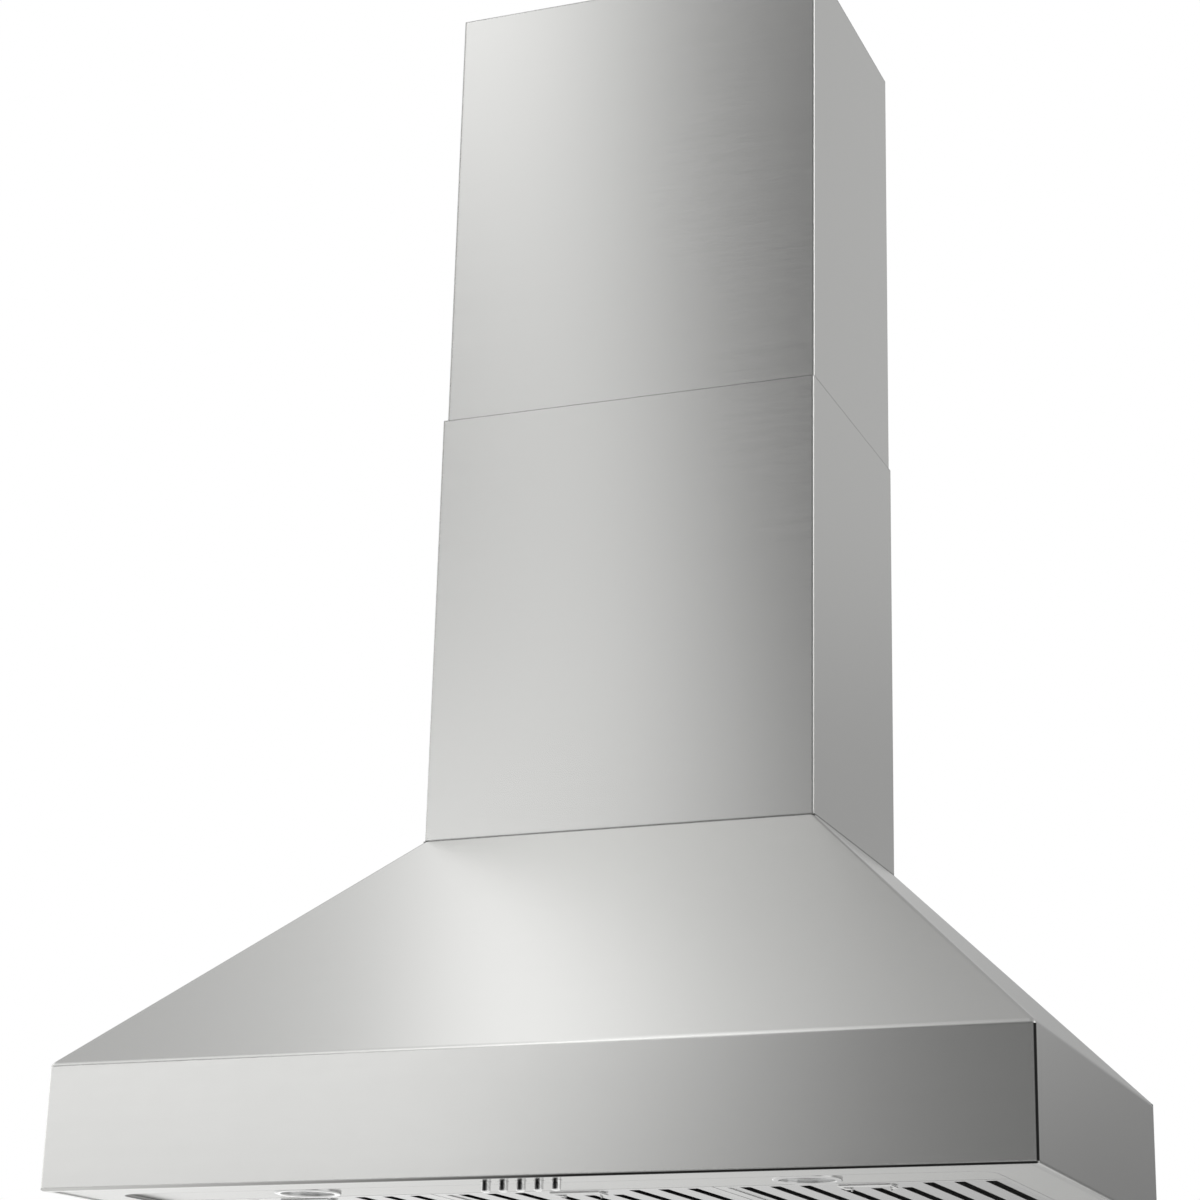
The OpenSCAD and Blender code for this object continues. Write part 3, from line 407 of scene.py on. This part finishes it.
def make_materials():
    """Every material by its name, which is its slot's, apart from canopy_steel and slotted_steel."""
    steel = (0.70, 0.70, 0.69)
    sheet = partial(brushed_steel, colour=steel, roughness=0.22, anisotropy=0.85)
    filter_sheet = partial(brushed_steel, roughness=0.26, anisotropy=0.3)
    chromed = partial(cast_metal, mottle=0.02, grain_size=300.0)
    makers = {
        # Edges painted almost black: painted shadow at the seams and painted dark reflection at the folds
        "brushed_steel": partial(sheet, edge=0.0022, edge_shade=0.02),
        # Lower folds darkened almost to black: a painted dark reflection
        "canopy_steel": partial(sheet, edge=SMALL_EDGE, edge_shade=1.0, fold_painted_reflection=0.98),
        "filter_steel": partial(filter_sheet, colour=(0.76, 0.76, 0.755), streak=0.02),
        # Painted highlight on the slots' lips and painted shade on their inner walls
        "slotted_steel": partial(
            filter_sheet, colour=(0.72, 0.72, 0.72), edge=0.001, edge_shade=1.35, wall_painted_shade=0.95
        ),
        # The baffles' dark grey is grease on the steel and painted shade from inside the filter
        "baffle_steel": partial(
            brushed_steel, colour=(0.28, 0.28, 0.28), roughness=0.35, anisotropy=0.3, streak=0.03
        ),
        "chrome_wire": partial(chromed, colour=(0.80, 0.80, 0.80), roughness=0.12),
        "galvanised": partial(cast_metal, colour=(0.56, 0.58, 0.59), roughness=0.38, mottle=0.14),
        "spring_steel": partial(cast_metal, colour=(0.45, 0.45, 0.46), roughness=0.3, mottle=0.06),
        "zinc_screws": partial(
            cast_metal, colour=(0.68, 0.68, 0.66), roughness=0.25, mottle=0.06, grain_size=400.0
        ),
        "wheel_aluminium": partial(
            cast_metal, colour=(0.55, 0.56, 0.57), roughness=0.35, mottle=0.06, grain_size=200.0
        ),
        "motor_paint": partial(moulded, colour=(0.035, 0.037, 0.04), roughness=0.38),
        "white_plastic": partial(moulded, colour=(0.80, 0.80, 0.77), roughness=0.35, mottle=0.03),
        "black_rubber": partial(moulded, colour=(0.022, 0.022, 0.022), roughness=0.75),
        "chrome": partial(chromed, colour=(0.66, 0.66, 0.66), roughness=0.1),
        "lens_glass": lens_glass,
        "lamp_housing": partial(cast_metal, colour=(0.60, 0.60, 0.60), roughness=0.4),
        "board_white": partial(moulded, colour=(0.82, 0.82, 0.79), roughness=0.5, mottle=0.04),
        "black_plastic": partial(moulded, colour=(0.03, 0.03, 0.032), roughness=0.5),
        # Buttons' fronts darkened: a painted dark reflection, with bright rounded edges
        "button_chrome": partial(
            chromed, colour=(0.92, 0.92, 0.92), roughness=0.08, edge=0.0014, front_shade=0.03
        ),
    }
    return {name: make(name) for name, make in makers.items()}


def dress_nodes(materials):
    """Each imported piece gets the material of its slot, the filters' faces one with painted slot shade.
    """
    for part in frame["record"]["subparts"]:
        node = frame["nodes"][part["node"]]
        finish = "slotted_steel" if part["node"].startswith("filter_face") else part["material_slot"]
        for holder in node.material_slots:
            holder.material = materials[finish]


def make_camera():
    data = bpy.data.cameras.new("photo_camera")
    data.sensor_width = SENSOR_WIDTH
    data.lens = FOCAL_PIXELS / PICTURE_WIDTH * SENSOR_WIDTH
    data.shift_x = (PICTURE_WIDTH / 2 - CENTRE_PIXEL[0]) / PICTURE_WIDTH
    data.shift_y = (CENTRE_PIXEL[1] - PICTURE_WIDTH / 2) / PICTURE_WIDTH
    camera = bpy.data.objects.new("photo_camera", data)
    bpy.context.scene.collection.objects.link(camera)
    turn = Matrix.Rotation(CAMERA_PAN, 4, "Z") @ Matrix.Rotation(CAMERA_TILT, 4, "X")
    turn = turn @ Matrix.Rotation(CAMERA_ROLL, 4, "Y") @ Matrix.Rotation(math.pi / 2, 4, "X")
    camera.matrix_world = Matrix.Translation(CAMERA_PLACE) @ turn
    bpy.context.scene.camera = camera


def ring(tree, value, span, stops):
    """A colour that follows (value, brightness) stops along one measure of the direction."""
    low, high = span
    node = add(tree, "ShaderNodeValToRGB", {"Fac": map_range(tree, value, span)})
    elements = node.color_ramp.elements
    while len(elements) > 1:
        elements.remove(elements[0])
    for i, (place, level) in enumerate(stops):
        share = (place - low) / (high - low)
        element = elements[0] if i == 0 else elements.new(share)
        element.position = share
        element.color = (level, level, level * STUDIO_BLUE, 1.0)
    return node.outputs["Color"]


def studio_shade(tree):
    """The studio that the steel mirrors: bright at the left and dark near the camera."""
    direction = parts_of(tree, add(tree, "ShaderNodeTexCoord").outputs["Generated"])
    forward = maths(tree, "MULTIPLY", direction["Y"], -1.0)
    turn = maths(tree, "ARCTAN2", direction["X"], forward)
    turn = map_range(tree, turn, (-math.pi, math.pi), HORIZON)
    height = maths(tree, "ARCSINE", direction["Z"])
    height = map_range(tree, height, (-math.pi / 2, math.pi / 2), (-90, 90))
    lean = maths(tree, "DIVIDE", direction["X"], maths(tree, "MAXIMUM", direction["Z"], LEAST_RISE))

    # Each ring gives the brightness round the horizon at one height, and the two upper ones share
    # their right half
    window = [(4, 0.2), (40, 0.2), (50, 2.8), (80, 2.8), (90, 1.2), (112, 1.2), (130, 0.56), (180, 0.56)]
    low = ring(tree, turn, HORIZON, [
        (-168, 0.3), (-160, 0.8), (-148, 1.5), (-60, 0.7), (-33, 0.5), (-21, 0.18), (-12, 0.1), (0, 0.3),
        (56, 0.3), (66, 1.2), (98, 1.2), (110, 0.4), (169, 0.2), (180, 0.4),
    ])
    middle = ring(tree, turn, HORIZON, [
        (-165, 0.46), (-148, 1.0), (-40, 2.6), (-25, 2.9), (-20.5, 0.9), (-17, 0.54), (-12, 0.34),
        (0, 0.3), (64, 0.3), (76, 1.1), (98, 1.1), (110, 0.5), (167, 0.5), (170, 0.2), (176, 0.42),
    ])
    waist = ring(tree, turn, HORIZON, [
        (-165, 0.42), (-150, 0.9), (-27, 0.78), (-21, 1.6), (-17.5, 0.6), (-14, 0.16), (0, 0.3),
        (64, 0.3), (76, 1.3), (98, 1.3), (110, 0.34), (180, 0.38),
    ])
    high = ring(tree, turn, HORIZON, [
        (-180, 0.6), (-150, 0.9), (-60, 0.1), (-26.5, 0.0), (-23.5, 0.64), (-21.5, 0.74), (-20, 0.28),
        (-18, 0.02), (-15, 0.0), *window,
    ])
    top = ring(tree, turn, HORIZON, [
        (-180, 0.6), (-150, 0.8), (-34, 1.3), (-28, 2.6), (-24.5, 1.6), (-22, 0.6), (-19, 0.34),
        (-15, 0.2), *window,
    ])
    # The sky's profile over the lean of a direction: the strip over the hood is its peak
    above = ring(tree, lean, (-1.0, 1.0), [
        (-0.8, 0.5), (-0.6, 0.6), (-0.5, 0.8), (-0.445, 1.38), (-0.41, 1.26), (-0.35, 0.88),
        (-0.28, 0.6), (-0.2, 0.44), (0.3, 0.42), (0.9, 0.6),
    ])
    # The heights, in degrees, between which each ring goes over into the next
    changes = [((5, 9), middle), ((10, 14), waist), ((15, 19), high), ((26, 32), top), ((40, 50), above)]
    shade = low
    for span, upper in changes:
        shade = mix_colour(tree, map_range(tree, height, span), shade, upper)
    return shade


def studio_world():
    """White to the camera and through glass, and a studio to the steel."""
    world = bpy.data.worlds.new("studio")
    bpy.context.scene.world = world
    world.use_nodes = True
    tree = world.node_tree
    tree.nodes.clear()
    rays = add(tree, "ShaderNodeLightPath")
    seen = maths(tree, "MAXIMUM", rays.outputs["Is Camera Ray"], rays.outputs["Is Transmission Ray"])
    tone = mix_colour(tree, seen, studio_shade(tree), WHITE)
    background = add(tree, "ShaderNodeBackground", {"Color": tone, "Strength": 1.0})
    out = add(tree, "ShaderNodeOutputWorld")
    tree.links.new(background.outputs[0], out.inputs["Surface"])


def make_lamp():
    data = bpy.data.lights.new("box_left", "AREA")
    data.shape = "RECTANGLE"
    data.size = LAMP_WIDTH
    data.size_y = LAMP_HEIGHT
    data.energy = LAMP_POWER
    lamp = bpy.data.objects.new("box_left", data)
    bpy.context.scene.collection.objects.link(lamp)
    lamp.location = LAMP_PLACE
    lamp.rotation_euler = (LAMP_TARGET - LAMP_PLACE).to_track_quat("-Z", "Y").to_euler()
    lamp.visible_camera = False


def floor_paint():
    """Pale paint from above, evenly lit where steel mirrors it, and clear from beneath.

    The hood's underside can be looked at through it.
    """
    material, tree = new_material("floor_paint")
    wide = noise(tree, object_places(tree), scale=1.5, detail=3.0)
    tone = mix_colour(tree, wide, *(opaque(colour) for colour in FLOOR_TONES))
    paint = add(tree, "ShaderNodeBsdfPrincipled", {"Base Color": tone, "Roughness": 0.9})
    lit = add(tree, "ShaderNodeEmission", {"Color": tone, "Strength": 1.0})
    mirrored = add(tree, "ShaderNodeLightPath").outputs["Is Glossy Ray"]
    inputs = {0: mirrored, 1: paint.outputs[0], 2: lit.outputs[0]}
    painted = add(tree, "ShaderNodeMixShader", inputs)
    beneath = add(tree, "ShaderNodeNewGeometry").outputs["Backfacing"]
    clear = add(tree, "ShaderNodeBsdfTransparent")
    inputs = {0: beneath, 1: painted.outputs[0], 2: clear.outputs[0]}
    finish_material(tree, add(tree, "ShaderNodeMixShader", inputs))
    return material


def make_floor():
    half = FLOOR_SIZE / 2
    corners = [(-half, -half, 0), (half, -half, 0), (half, half, 0), (-half, half, 0)]
    mesh = bpy.data.meshes.new("floor")
    mesh.from_pydata(corners, [], [(0, 1, 2, 3)])
    mesh.materials.append(floor_paint())
    floor = bpy.data.objects.new("floor", mesh)
    floor.location = (0, 0, cad_bounds[0][2] - RIM_HEIGHT)
    bpy.context.scene.collection.objects.link(floor)


def folded_skin():
    """The canopy's front and side sheets as one welded skin, with the real radius at every fold."""
    low, high = (Vector(corner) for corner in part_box("canopy_front"))
    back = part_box("canopy_side_right")[1][1]
    chimney = [Vector(corner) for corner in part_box("lower_chimney")]
    vertices = [vertex.co for vertex in frame["nodes"]["canopy_front"].data.vertices]
    bend = max(place.z for place in vertices if place.y < low.y + NEAR)
    hem = max(place.y for place in vertices if place.z < low.z + NEAR) - low.y
    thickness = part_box("canopy_top")[1][2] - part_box("canopy_top")[0][2]

    mesh = bmesh.new()

    def row(half, front, height):
        """Back left, front left, front right and back right of one level."""
        places = ((-half, back), (-half, front), (half, front), (half, back))
        return [mesh.verts.new((x, y, height)) for x, y in places]

    # From the hem's turned-up lip, out along the hem, up the rim and up the slope to the chimney
    lip_end = row(high.x - hem, low.y + hem, low.z + thickness)
    lip = row(high.x - hem + thickness, low.y + hem - thickness, low.z)
    levels = [
        lip_end,
        lip,
        row(high.x, low.y, low.z),
        row(high.x, low.y, bend),
        row(chimney[1].x, chimney[0].y, chimney[0].z),
    ]
    for lower, upper in zip(levels, levels[1:]):
        for i in range(len(lower) - 1):
            mesh.faces.new((lower[i], lower[i + 1], upper[i + 1], upper[i]))
    mesh.normal_update()
    folds = [
        edge for edge in mesh.edges
        if len(edge.link_faces) == 2 and edge.calc_face_angle() > FOLD_ANGLE
        and not any(vertex in lip for vertex in edge.verts)
    ]
    bmesh.ops.bevel(
        mesh, geom=folds, offset=FOLD_RADIUS, offset_type="OFFSET", segments=FOLD_STEPS, profile=0.5,
        affect="EDGES", clamp_overlap=True
    )
    for face in mesh.faces:
        face.smooth = True
    data = bpy.data.meshes.new("canopy_skin")
    mesh.to_mesh(data)
    mesh.free()
    skin = bpy.data.objects.new("canopy_skin", data)
    bpy.context.scene.collection.objects.link(skin)
    solid = skin.modifiers.new("sheet", "SOLIDIFY")
    solid.thickness = thickness
    solid.offset = -1.0
    solid.use_even_offset = True
    skin.modifiers.new("flat_faces", "WEIGHTED_NORMAL").weight = 100
    return skin


def dress_canopy(materials):
    skin = folded_skin()
    skin.data.materials.append(materials["canopy_steel"])
    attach(skin, "canopy")
    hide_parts("canopy_front", "canopy_side_left", "canopy_side_right")


make_camera()
studio_world()
make_lamp()
make_floor()
materials = make_materials()
dress_nodes(materials)
dress_canopy(materials)
bpy.context.scene.view_settings.view_transform = "Standard"
